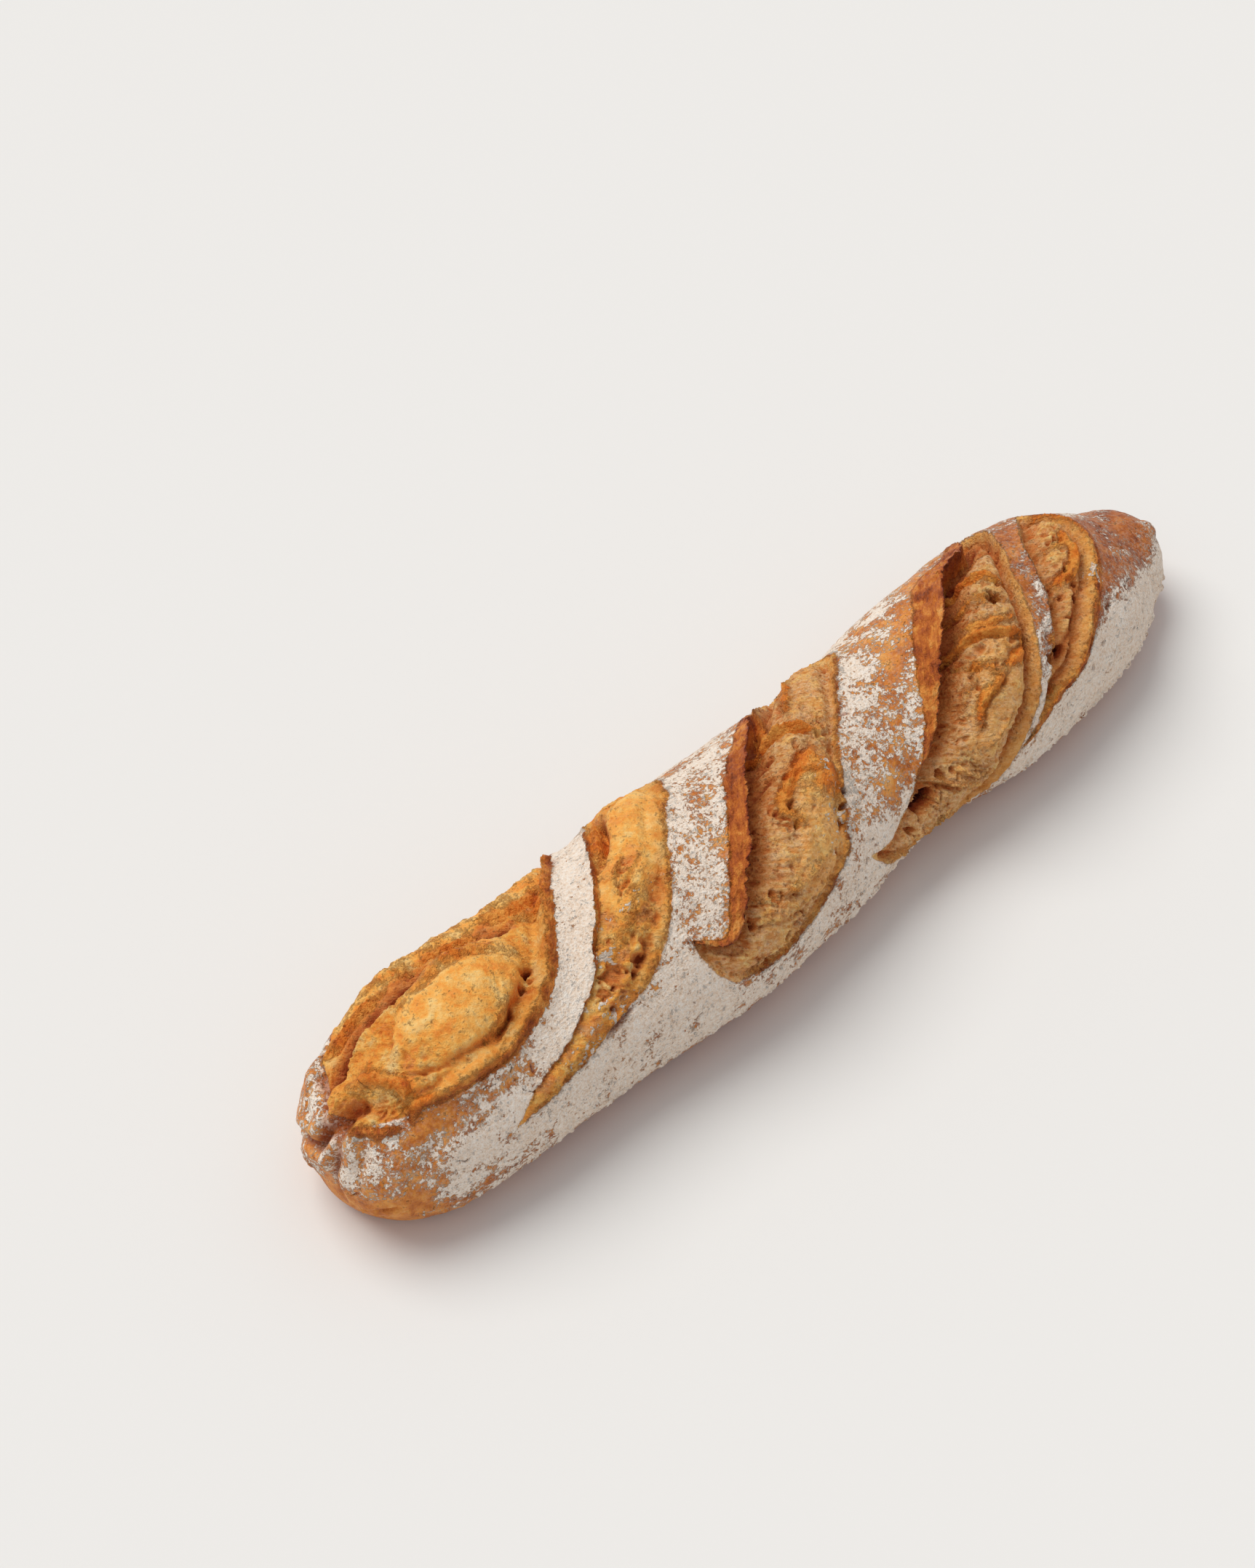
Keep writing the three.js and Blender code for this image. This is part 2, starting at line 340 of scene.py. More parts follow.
def grain(points, size, seed, stretch=(1.0, 1.0, 1.0)):
    """Smooth noise from about -1 to 1, with features of the given size."""
    q = points / (np.array(stretch, np.float32) * np.float32(size))
    cell, f = lattice_cell(q)
    u = f * f * f * (f * (f * 6 - 15) + 10)
    total = np.zeros(len(q), np.float32)
    for corner in range(8):
        step = (corner & 1, corner >> 1 & 1, corner >> 2 & 1)
        bits = lattice_bits(*(cell[:, a] + np.uint32(step[a]) for a in range(3)), seed)
        dot = np.zeros(len(q), np.float32)
        weight = np.ones(len(q), np.float32)
        for a in range(3):
            pull = ten_bits(bits, a) / 511.5 - 1
            dot += pull * (f[:, a] - step[a])
            weight *= u[:, a] if step[a] else 1 - u[:, a]
        total += weight * dot
    return total * 1.5


def layers(points, size, seed, count=3, keep=0.5):
    """Noise on top of noise, each layer half as wide and weaker by keep."""
    total, strength, most = 0.0, 1.0, 0.0
    for k in range(count):
        total = total + strength * grain(points, size / 2 ** k, seed + 17 * k)
        most += strength
        strength *= keep
    return total / most * 1.3


def ridges(points, size, seed, stretch=(1.0, 1.0, 1.0)):
    """Noise that runs in thin raised threads, 0 to 1."""
    return 1 - np.minimum(np.abs(grain(points, size, seed, stretch)) * 2.2, 1)


def bubbles(points, size, seed):
    """Distance to the middle of the nearest bubble, in bubble sizes, and that bubble's own number."""
    cell, f = lattice_cell((points / size).astype(np.float32))
    best = np.full(len(f), 9.0, np.float32)
    number = np.zeros(len(f), np.float32)
    for step in np.ndindex(3, 3, 3):
        offset = np.array(step) - 1
        bits = lattice_bits(*(cell[:, a] + offset[a:a + 1].astype(np.uint32) for a in range(3)), seed)
        gap = np.zeros(len(f), np.float32)
        for a in range(3):
            gap += (int(offset[a]) + ten_bits(bits, a) / 1023 - f[:, a]) ** 2
        nearer = gap < best
        best[nearer] = gap[nearer]
        number[nearer] = (bits[nearer] & TWELVE_BITS).astype(np.float32) / 4095
    return np.sqrt(best), number


def read(table, at, column):
    """A smooth curve through a table's rows."""
    xs, values = table[:, 0], table[:, column]
    slopes = np.empty(len(xs))
    slopes[1:-1] = (values[2:] - values[:-2]) / (xs[2:] - xs[:-2])
    slopes[0] = (values[1] - values[0]) / (xs[1] - xs[0])
    slopes[-1] = (values[-1] - values[-2]) / (xs[-1] - xs[-2])
    at = np.clip(at, xs[0], xs[-1])
    k = np.clip(np.searchsorted(xs, at, side="right") - 1, 0, len(xs) - 2)
    span = xs[k + 1] - xs[k]
    t = (at - xs[k]) / span
    blend = t * t * (3 - 2 * t)
    bow = span * t * (1 - t) * ((1 - t) * slopes[k] - t * slopes[k + 1])
    return values[k] * (1 - blend) + values[k + 1] * blend + bow


def smooth_line(points):
    """A curve through points given as X and degrees, in mm along and round the crust."""
    points = np.array(points, float)
    points[:, 1] *= MM_PER_DEGREE
    padded = np.vstack([2 * points[0] - points[1], points, 2 * points[-1] - points[-2]])
    line = []
    for k in range(1, len(padded) - 2):
        a, b, c, d = padded[k - 1:k + 3]
        for t in np.arange(LINE_STEPS) / LINE_STEPS:
            line.append(0.5 * (2 * b + (c - a) * t + (2 * a - 5 * b + 4 * c - d) * t ** 2
                               + (3 * b - a - 3 * c + d) * t ** 3))
    line.append(points[-1])
    return np.array(line)


def to_line(u, v, line):
    """Distance to a line on the crust, how far along it, the line's direction there, and the side."""
    best = np.full(len(u), 1e9)
    along = np.zeros(len(u))
    run_u, run_v = np.zeros(len(u)), np.zeros(len(u))
    right = np.ones(len(u))
    lengths = np.hypot(*np.diff(line, axis=0).T)
    total, passed = lengths.sum(), 0.0
    for (au, av), (bu, bv), length in zip(line[:-1], line[1:], lengths):
        du, dv = (bu - au) / length, (bv - av) / length
        t = np.clip((u - au) * du + (v - av) * dv, 0, length)
        gap = (u - au - t * du) ** 2 + (v - av - t * dv) ** 2
        nearer = gap < best
        best[nearer] = gap[nearer]
        along[nearer] = (passed + t[nearer]) / total
        run_u[nearer], run_v[nearer] = du, dv
        right[nearer] = np.sign(du * (v - av) - dv * (u - au))[nearer]
        passed += length
    return np.sqrt(best), along, run_u, run_v, right


def to_path(points, path):
    """Distance to a path in space, and how far along it."""
    best = np.full(len(points), 1e9)
    along = np.zeros(len(points))
    steps = np.diff(path, axis=0)
    lengths = np.linalg.norm(steps, axis=1)
    total, passed = lengths.sum(), 0.0
    for start, step, length in zip(path[:-1], steps, lengths):
        t = np.clip((points - start) @ step / length ** 2, 0, 1)
        gap = np.sum((points - start - t[:, None] * step) ** 2, axis=1)
        nearer = gap < best
        best[nearer] = gap[nearer]
        along[nearer] = (passed + t[nearer] * length) / total
        passed += length
    return np.sqrt(best), along


def within(u, v, outline):
    """Which points lie inside a closed outline."""
    inside = np.zeros(len(u), bool)
    for (au, av), (bu, bv) in zip(outline, np.roll(outline, -1, axis=0)):
        if av == bv:
            continue
        crosses = (av > v) != (bv > v)
        inside ^= crosses & (u < (bu - au) * (v - av) / (bv - av) + au)
    return inside


# ---------------------------------------------------------------- the plain loaf
def end_rounding(x):
    """0 at the loaf's two tips, 1 past its rounded ends."""
    blunt = np.clip((x + HALF_LENGTH) / BLUNT_END_LENGTH, 0, 1)
    tapered = np.clip((HALF_LENGTH - x) / TAPERED_END_LENGTH, 0, 1)
    near = 1 - (1 - blunt) ** BLUNT_END_FULLNESS
    far = 1 - (1 - tapered) ** TAPERED_END_FULLNESS
    return np.sqrt(near * far)


def plain_loaf(x, angle):
    """The loaf before it is slashed, not yet resting on anything."""
    x = np.clip(x, -HALF_LENGTH, HALF_LENGTH)
    rounding = end_rounding(x)
    half_width = read(PLAN, x, 1)
    height = HEIGHT_PER_HALF_WIDTH * half_width * rounding ** 0.8
    rise = CENTRE_HEIGHT + (1 - CENTRE_HEIGHT) * np.cos(angle)
    y = read(PLAN, x, 2) + SIDE_SHIFT - half_width * rounding * np.sin(angle)
    z = height * rise + TIP_HEIGHT * (1 - rounding)
    return np.stack([x, y, z], axis=1)


def spread_along(even):
    """Rings close up only at the rounded ends."""
    return HALF_LENGTH * even * (9 - even ** 8) / 8


def outward(even, angle):
    """The plain loaf's outward direction."""
    step = 1e-4
    along = plain_loaf(spread_along(np.clip(even + step, -1, 1)), angle) \
        - plain_loaf(spread_along(np.clip(even - step, -1, 1)), angle)
    around = plain_loaf(spread_along(even), angle + step) - plain_loaf(spread_along(even), angle - step)
    normal = np.cross(along, around)
    length = np.linalg.norm(normal, axis=1, keepdims=True)
    normal = normal / np.maximum(length, 1e-12)
    middle = plain_loaf(spread_along(even) * 0.9, angle * 0 + math.pi / 2)
    middle[:, 1] = read(PLAN, spread_along(even), 2) + SIDE_SHIFT
    here = plain_loaf(spread_along(even), angle)
    flip = np.sign(np.sum(normal * (here - middle), axis=1, keepdims=True))
    return normal * flip


def resting(z):
    """The underside lies flat, with a soft turn up to the sides."""
    soft = (z + FLOOR_RADIUS) ** 2 / (4 * FLOOR_RADIUS)
    return np.where(z <= -FLOOR_RADIUS, 0.0, np.where(z < FLOOR_RADIUS, soft, z))


# ---------------------------------------------------------------- the baked crust
FINISHES = ("opening", "toast", "char", "gold", "flour", "baked", "wall", "smooth", "height", "spill")


class Crust:
    """Points of the plain loaf, and the relief and finish that the oven gives them.

    u and v are mm along and round the crust, wandering a little so that no line runs true. The rise
    is in mm outward, and the lean in mm along and round. The opening is mm inside a slash's edge.
    Height is the crumb's and cracks' own, in mm, below 0 in hollows; the colour takes painted shade from
    it in hollows and painted highlights on crests. The rest run from 0 to about 1.
    """

    def __init__(self, x, angle):
        self.x = x
        self.degrees = np.degrees(angle)
        self.plain = plain_loaf(x, angle).astype(np.float32)
        self.u = x + 0.9 * grain(self.plain, 13, 1) + 0.5 * grain(self.plain, 4, 2) \
            + 0.2 * grain(self.plain, 1.6, 7)
        self.v = MM_PER_DEGREE * self.degrees + 0.9 * grain(self.plain, 13, 3) \
            + 0.5 * grain(self.plain, 4, 4)
        self.rise = 0.9 * grain(self.plain, 34, 5) + 0.35 * grain(self.plain, 11, 6)
        count = len(x)
        self.lean_u, self.lean_v = np.zeros(count), np.zeros(count)
        self.opening = np.full(count, -20.0)
        self.toast, self.char, self.gold = np.zeros(count), np.zeros(count), np.zeros(count)
        self.wall, self.smooth, self.height = np.zeros(count), np.zeros(count), np.zeros(count)
        self.ragged, self.spill = np.zeros(count), np.zeros(count)

    def around(self, line, reach):
        """The points within reach of a line's own box."""
        low, high = line.min(0) - reach, line.max(0) + reach
        return np.flatnonzero((self.u > low[0]) & (self.u < high[0])
                              & (self.v > low[1]) & (self.v < high[1]))

    def gap_to(self, at_x, at_degrees, long_half, wide_half):
        """Distance to a spot, as a share of its half length and half width."""
        return np.hypot((self.u - at_x) / long_half,
                        (self.v - at_degrees * MM_PER_DEGREE) / wide_half)

    def deepen(self, name, near, values):
        """Keeps the larger of a finish and the new values."""
        finish = getattr(self, name)
        finish[near] = np.maximum(finish[near], values)


def cut_slash(crust, slash):
    """One slash: the ear that stands along one side, the open floor, and the wall on the other."""
    ear_line = smooth_line(slash["ear_side"])
    crumb_line = smooth_line(slash["crumb_side"])
    near = crust.around(np.vstack([ear_line, crumb_line]), SLASH_REACH)
    u, v = crust.u[near], crust.v[near]
    from_ear, along, run_u, run_v, _ = to_line(u, v, ear_line)
    from_crust, along_crumb, _, _, _ = to_line(u, v, crumb_line)
    inside = within(u, v, np.vstack([ear_line, crumb_line[-2:0:-1]]))
    beside_ear = inside | (from_ear < from_crust)
    beside_crust = inside | (from_crust < from_ear)
    tips = np.minimum(np.hypot(u - ear_line[0, 0], v - ear_line[0, 1]),
                      np.hypot(u - ear_line[-1, 0], v - ear_line[-1, 1]))
    tip_fade = ease(tips, 1, 18)
    across = from_ear / np.maximum(from_ear + from_crust, 1e-6)
    room = ease(from_ear + from_crust, 1, 9)

    # the ear climbs outside the opening, stands at its edge and leans over it
    ear_table = np.array(slash["ear_shape"])
    ear_height = np.interp(along, ear_table[:, 0], ear_table[:, 1])
    ear_band = np.interp(along, ear_table[:, 0], ear_table[:, 2])
    climb_out = np.clip(1 - from_ear / (7 + 0.4 * ear_band), 0, 1) ** 2
    up = np.where(beside_ear, np.where(inside, 1 - ease(from_ear, 0.0, 1.3), climb_out), 0)
    tuck = 0.8 * bell(from_ear - 2.2, 1.2)
    lean = slash["lean"] * np.minimum(ear_height / 3, 1) * np.where(inside, up - tuck, up)

    # the floor dips under the ear, swells in the middle and climbs the wall to the crust's rim
    wall_table = np.array(slash["wall_shape"])
    wall = np.interp(along_crumb, wall_table[:, 0], wall_table[:, 1])
    rim = np.minimum(slash["rim"], wall * 0.5)
    deep = -slash["under"] * bell(np.maximum(from_ear - 2.0, 0), slash["reach"]) \
        * ease(from_ear, 0.3, 2.2)
    deep = deep * (1 - 0.65 * ease(along, 0.55, 0.9))
    full = slash["swell"] * np.sin(np.pi * np.clip(across, 0, 1)) ** 1.5
    climb = ease(from_crust, rim, wall)
    foot = -slash["foot"] * bell(from_crust - wall - 0.6, 1.7)
    brim = 0.45 + 0.55 * ease(from_crust, 0, rim)
    floor = room * ((deep + full) * climb + foot) + slash["lip"] * brim * (1 - climb) * tip_fade
    outside_lip = 0.45 * slash["lip"] * bell(from_crust, 3.0) * tip_fade
    bed = np.where(inside, floor, np.where(from_crust < from_ear, outside_lip, 0))

    crust.rise[near] += ear_height * up + bed
    crust.lean_u[near] += lean * run_v
    crust.lean_v[near] += -lean * run_u
    # height paints shade into the dip under the ear and the groove at the foot of the wall
    crust.height[near] += np.where(inside, 0.35 * room * (deep + foot) * climb, 0)

    # the ear's inner band and the crest of the rim are toasted, and their very edges char
    depth_in = np.where(inside, np.minimum(from_ear, from_crust), -np.minimum(from_ear, from_crust))
    band = np.where(inside, 1 - ease(from_ear, 0.6, 2.4),
                    1 - ease(from_ear, ear_band * 0.7, ear_band * 1.1 + 0.2))
    band = np.where(beside_ear, band, 0) * np.clip(ear_height / 2.0, 0, 1)
    edge = np.where(inside, bell(from_ear, 1.6), bell(from_ear, 0.9)) * np.clip(ear_height / 3, 0, 1)
    face = np.where(inside, 1 - ease(from_crust, wall * 0.75, wall), bell(from_crust, 0.8))
    face = np.where(beside_crust, face, 0) * ease(tips, 1, 8)
    crest = np.where(inside, bell(np.maximum(from_crust - rim * 0.6, 0), 0.9 + rim * 0.2),
                     bell(from_crust, 1.0))
    crest = np.where(beside_crust, slash["rim_toast"] * crest, 0) * ease(tips, 1, 10)
    crust.deepen("opening", near, depth_in)
    crust.deepen("toast", near, np.maximum(band, crest))
    crust.deepen("char", near, np.where(beside_ear, edge, 0))
    if slash["rim"] > 2:
        fade_in = np.where(inside, 1 - ease(from_crust, rim * 0.6, rim), 1)
        crust.deepen("char", near, 0.5 * crest * fade_in)
    crust.deepen("wall", near, face)
    crust.deepen("gold", near, slash["gold"] * ease(depth_in, -3, 0))
    crust.deepen("ragged", near, np.maximum(np.maximum(band, crest * 0.8), 0.4 * face))


def lay_fold(crust, points, width, height, toasted):
    """One fold of torn crumb, or a crevice where the height is below 0."""
    line = smooth_line(points)
    near = crust.around(line, width * 3 + 3)
    wobble = 0.5 * grain(crust.plain[near], 3, 36)
    away, along, _, _, right = to_line(crust.u[near] + wobble, crust.v[near] - wobble, line)
    ends = fullness(along, 0.3) * (1 + 0.7 * grain(crust.plain[near], 4.5, 48))
    shape = bell(away, width) * ends
    if height > 0:
        shape = np.where(right > 0, bell(away, width * 0.45) * ends, shape)
        trough = np.where(right > 0, bell(away - width * 1.25, width * 0.6), 0) * ends
        crust.rise[near] -= 0.8 * height * trough
        # the trough is also written into height, where it paints shadow beside the fold
        crust.height[near] -= 0.9 * height * trough
        crust.deepen("toast", near, toasted * bell(away, width * 1.6) * ends)
    crust.rise[near] += height * shape
    # height paints shade into crevices and highlights onto raised folds
    crust.height[near] += height * shape * (0.5 if height > 0 else 0.85)
    if width > 4:
        crust.deepen("smooth", near, 0.7 * bell(away, width))
    elif height > 1.2:
        crust.deepen("ragged", near, shape * 0.8)


def press_crease(crust, shaken, points, width, height, toasted):
    """One crease of the blunt end, or a torn lip where the height is above 0."""
    points = np.array(points, float)
    path = plain_loaf(points[:, 0], np.radians(points[:, 1]))
    near = np.flatnonzero(np.all((crust.plain > path.min(0) - CREASE_REACH)
                                 & (crust.plain < path.max(0) + CREASE_REACH), axis=1))
    away, along = to_path(shaken[near], path)
    ends = fullness(along, 0.4)
    shape = bell(away, width) * ends
    crust.rise[near] += height * shape
    if height < 0:
        crust.rise[near] -= 0.3 * height * bell(away - width * 2.4, width * 1.4) * ends
    # height paints shade into the creases and highlights onto the torn lips
    crust.height[near] += height * shape * 0.6
    crust.deepen("toast", near, toasted * bell(away, width * 1.2) * ends)
    crust.deepen("ragged", near, toasted * shape)


def raise_knob(crust, at_x, at_degrees, radius, height):
    """A rounded lump of crust."""
    middle = plain_loaf(np.array([at_x]), np.radians([at_degrees]))[0]
    away = np.linalg.norm(crust.plain - middle, axis=1) / radius
    crust.rise += height * np.clip(1 - away ** 2, 0, 1) ** 1.3


def tear_hole(crust, tear, at_x, at_degrees, radius, depth):
    """A hole whose rim is torn out of round."""
    away = crust.gap_to(at_x, at_degrees, 1.0, 1.0) * (1 + 0.45 * tear) + 0.5 * tear
    dip = 1 - ease(away, radius * 0.6, radius * 1.1)
    crust.rise -= depth * dip
    # height paints shade into the hole
    crust.height -= (0.3 + depth * 0.7) * dip


def swell_crumb(crust, at_x, at_degrees, long_half, wide_half, slant, height, skin):
    """A dome of crumb that the oven pushed up, with its own smooth skin."""
    turn = math.radians(slant)
    du, dv = crust.u - at_x, crust.v - at_degrees * MM_PER_DEGREE
    p = du * math.cos(turn) - dv * math.sin(turn)
    q = du * math.sin(turn) + dv * math.cos(turn)
    hump = np.clip(1 - np.hypot(p / long_half, q / wide_half) ** 2, 0, 1) ** 0.8
    crust.rise += height * hump
    crust.smooth = np.maximum(crust.smooth, skin * ease(hump, 0.0, 0.25))


def weave_crumb(crust, crumb):
    """Open crumb: strands drawn across the opening, pockets between them, soft lumps."""
    inside = np.flatnonzero(crumb > 0.02)
    u, v, plain, smooth = crust.u[inside], crust.v[inside], crust.plain[inside], crust.smooth[inside]
    along = SLASH_RUN[0] * u + SLASH_RUN[1] * v
    across = -SLASH_RUN[1] * u + SLASH_RUN[0] * v
    flat = np.stack([along, across, np.zeros(len(u))], axis=1).astype(np.float32)
    flat += 1.3 * np.stack([grain(flat, 5, s) for s in (21, 22, 23)], axis=1)
    drawn = ridges(flat, 2.6, 24, (1.0, 3.2, 1.0))
    strung = ridges(flat, 3.0, 25, (2.6, 1.0, 1.0))
    fine = ridges(flat, 1.5, 34, (1.0, 2.2, 1.0))
    web = np.maximum(drawn, 0.85 * strung) + 0.3 * fine
    far, number = bubbles(flat / np.array([1.5, 1.0, 1.0], np.float32), 3.2, 26)
    pocket = (1 - ease(far, 0.15, 0.55)) * ease(number, 0.5, 0.8)
    patchy = ease(grain(flat, 13, 27), -0.3, 0.45)
    lumps = grain(flat, 11, 28) + 0.6 * grain(flat, 5.5, 35)
    relief = 2.0 * (web - 0.85) * (0.35 + 0.65 * patchy) - 2.4 * pocket * patchy

    torn = crumb[inside] * (1 - 0.8 * smooth) * (1 - 0.4 * crust.wall[inside])
    crust.rise[inside] += torn * relief + crumb[inside] * 0.9 * (1 - 0.5 * smooth) * lumps
    # height paints shade into the pockets and highlights onto the strands
    crust.height[inside] += torn * relief + 0.4 * lumps * crumb[inside]
    crust.rise[inside] += crumb[inside] * 0.4 * layers(plain, 2.2, 29, 2, 0.7)
    caught = crumb[inside] * ease(web, 1.0, 1.25) * ease(lumps, -0.1, 0.6)
    crust.deepen("toast", inside, 0.45 * caught * (1 - smooth))


def fray_edges(crust):
    """Torn edges are grained along the slashes, and jagged."""
    rough = np.flatnonzero(crust.ragged > 0.05)
    where, ragged = crust.plain[rough], crust.ragged[rough]
    u, v = crust.u[rough], crust.v[rough]
    crust.rise[rough] += ragged * (0.7 * layers(where, 3.2, 31, 3, 0.65) + 0.5 * grain(where, 7, 32))
    grained = np.stack([SLASH_RUN[0] * u + SLASH_RUN[1] * v,
                        SLASH_RUN[0] * v - SLASH_RUN[1] * u, where[:, 2] * 0.2], axis=1)
    crust.rise[rough] += 0.9 * ragged * (ridges(grained, 1.8, 51, (5.0, 1.0, 1.0)) - 0.6)
    spikes = 1.6 * grain(where, 2.0, 49) * ease(grain(where, 7, 50), -0.1, 0.5)
    jag = ragged * (1.2 * layers(where, 4.0, 33, 3, 0.6) + spikes)
    crust.lean_u[rough] += jag * 0.75
    crust.lean_v[rough] += jag * 0.6


def dust_with_flour(crust, crumb):
    """Where flour lies and how deeply the crust is baked: by strap on top, evenly on the sides."""
    degrees, plain = crust.degrees, crust.plain
    blunt_lack = BLUNT_END_LACK * ease(-crust.x, *BLUNT_END)
    strap = crust.x + STRAP_SLANT * degrees * (1 - ease(np.abs(degrees), 60, 110) * 0.5)
    flour = np.interp(strap, FLOUR_BY_STRAP[:, 0], FLOUR_BY_STRAP[:, 1])
    baked = np.interp(strap, BAKED_BY_STRAP[:, 0], BAKED_BY_STRAP[:, 1])
    side = ease(degrees, *LOW_SIDE)
    flour = flour * (1 - side) + (SIDE_FLOUR + 0.22 * grain(plain, 8, 54) - blunt_lack) * side
    crust.baked = baked * (1 - side) + (SIDE_BAKED - blunt_lack) * side
    far_side = ease(-degrees, *FAR_SIDE)
    flour = flour * (1 - far_side) + FAR_FLOUR * far_side
    for at_x, at_degrees, long_half, wide_half, change in FLOUR_SPOTS:
        flour += change * bell(np.hypot((crust.x - at_x) / long_half,
                                        (degrees - at_degrees) * MM_PER_DEGREE / wide_half), 1.0)
    flour *= 1 - 0.85 * ease(np.abs(degrees), *UNFLOURED)
    flour *= 1 - ease(crust.toast * (1 - crumb), 0.25, 0.6)
    crust.flour = np.clip(flour, 0, 1.2)
    for *spot, amount in SPILLS:
        crust.spill = np.maximum(crust.spill, amount * bell(crust.gap_to(*spot), 1.0))

    # the coat is lumpy, and it and the crust under it crack
    dusted = np.flatnonzero((crumb < 0.5) & (flour > 0.2))
    where = plain[dusted]
    crust.rise[dusted] += 0.3 * flour[dusted] * (layers(where, 2.4, 41, 2) + 0.5 * grain(where, 6, 42))
    cracks = ridges(where, 9, 43) * ridges(where, 3.5, 44)
    split = ease(cracks, 0.70, 0.92) * ease(grain(where, 16, 45), -0.05, 0.3)
    crust.rise[dusted] -= 0.6 * split
    # height paints shade into the cracks
    crust.height[dusted] -= 1.6 * split
    crusty = bell(np.abs(degrees) - 100, 13) * ease(layers(plain, 3.0, 46, 2), 0.15, 0.6)
    crust.rise += 1.1 * crusty * (1 - crumb)


def bake(x, angle):
    """Works out the relief and the finish at points of the plain loaf."""
    crust = Crust(x, angle)
    for slash in SLASHES:
        cut_slash(crust, slash)
    crumb = ease(crust.opening, -0.2, 1.4)
    for fold in FOLDS:
        lay_fold(crust, *fold)
    shaken = crust.plain + 0.8 * np.stack([grain(crust.plain, 5, s) for s in (37, 38, 39)], axis=1)
    for crease in CREASES:
        press_crease(crust, shaken, *crease)
    for knob in KNOBS:
        raise_knob(crust, *knob)
    tear = grain(crust.plain, 2.6, 40) + 0.6 * grain(crust.plain, 1.3, 47)
    for hole in HOLES:
        tear_hole(crust, tear, *hole)
    for swelling in SWELLINGS:
        swell_crumb(crust, *swelling)
    for at_x, at_degrees, radius in WEBBED:
        crust.smooth *= 1 - 0.9 * bell(crust.gap_to(at_x, at_degrees, 1.0, 1.0), radius)
    weave_crumb(crust, crumb)
    fray_edges(crust)
    dust_with_flour(crust, crumb)

    # nothing stands out underneath, where the loaf rests, or at the very tips
    calm = (1 - ease(np.abs(crust.degrees), *UNDERSIDE)) * ease(end_rounding(x), 0.05, 0.35)
    crust.rise *= calm
    crust.lean_u *= calm
    crust.lean_v *= calm
    return crust


# ---------------------------------------------------------------- the mesh
def write_values(mesh, name, values):
    layer = mesh.attributes.new(name, "FLOAT", "POINT")
    layer.data.foreach_set("value", values.astype(np.float32))


def take_values(mesh, name):
    """Reads a value per corner off the mesh and removes it there."""
    values = np.empty(len(mesh.vertices), np.float32)
    mesh.attributes[name].data.foreach_get("value", values)
    mesh.attributes.remove(mesh.attributes[name])
    return values.astype(float)


def read_whole_numbers(items, name):
    values = np.empty(len(items), np.int32)
    items.foreach_get(name, values)
    return values


def shape_loaf(rings, spokes):
    """A closed ball whose corners are moved onto the baked loaf."""
    loaf_bm = bmesh.new()
    bmesh.ops.create_uvsphere(loaf_bm, u_segments=spokes, v_segments=rings, radius=1.0)
    mesh = bpy.data.meshes.new("loaf_dough")
    loaf_bm.to_mesh(mesh)
    loaf_bm.free()
    ball = np.empty(len(mesh.vertices) * 3)
    mesh.vertices.foreach_get("co", ball)
    ball = ball.reshape(-1, 3)
    even = 1 - 2 * np.arccos(np.clip(ball[:, 2], -1, 1)) / math.pi
    turn = np.arctan2(ball[:, 0], ball[:, 1])
    angle = turn * (TOP_SPACING + WIDENING * (turn / math.pi) ** 2)
    angle[np.abs(even) > 1 - 1e-5] = 0.0
    x = spread_along(even)
    crust = bake(x, angle)
    leant_x = np.clip(x + crust.lean_u, -HALF_LENGTH, HALF_LENGTH)
    leant_angle = angle + np.radians(crust.lean_v / MM_PER_DEGREE)
    placed = plain_loaf(leant_x, leant_angle) + outward(even, angle) * crust.rise[:, None]
    placed[:, 2] = resting(placed[:, 2])
    mesh.vertices.foreach_set("co", (placed * MM).ravel())
    write_values(mesh, "along", x)
    write_values(mesh, "cosine", np.cos(angle))
    write_values(mesh, "sine", np.sin(angle))
    mesh.update()
    return mesh


def thin_out(mesh, most):
    """Fewer faces, collapsed down to about the given number of triangles."""
    triangles = sum(len(p.vertices) - 2 for p in mesh.polygons)
    if triangles <= most:
        return mesh
    holder = bpy.data.objects.new("loaf_dough", mesh)
    bpy.context.scene.collection.objects.link(holder)
    decimate = holder.modifiers.new("thin", "DECIMATE")
    decimate.ratio = most / triangles
    depsgraph = bpy.context.evaluated_depsgraph_get()
    thinned = bpy.data.meshes.new_from_object(holder.evaluated_get(depsgraph))
    bpy.data.objects.remove(holder)
    return thinned


def finish_loaf(mesh):
    """Writes the finishes onto the corners and unrolls the crust for its UV map."""
    x = take_values(mesh, "along")
    cosine, sine = take_values(mesh, "cosine"), take_values(mesh, "sine")
    angle = np.arctan2(sine, cosine)
    crust = bake(x, angle)
    for name in FINISHES:
        write_values(mesh, name, getattr(crust, name))
    corners = read_whole_numbers(mesh.loops, "vertex_index")
    starts = read_whole_numbers(mesh.polygons, "loop_start")
    face = np.repeat(np.arange(len(starts)), read_whole_numbers(mesh.polygons, "loop_total"))
    turn = angle[corners] / (2 * math.pi)
    span = np.maximum.reduceat(turn, starts) - np.minimum.reduceat(turn, starts)
    turn = np.where((span[face] > 0.5) & (turn < 0), turn + 1, turn)
    uv = np.stack([0.5 + x[corners] / LENGTH * (1 - 2 * UV_MARGIN),
                   UV_MARGIN + UV_TURN * (turn + 0.5)], axis=1)
    layer = mesh.uv_layers.new(name="OFBake")
    layer.uv.foreach_set("vector", uv.astype(np.float32).ravel())
    mesh.shade_smooth()
    return mesh


# ---------------------------------------------------------------- finishes
def tone(red, green, blue):
    """A colour given as 0 to 255, as light."""
    parts = [c / 255 for c in (red, green, blue)]
    return tuple(c / 12.92 if c <= 0.04045 else ((c + 0.055) / 1.055) ** 2.4 for c in parts) + (1.0,)


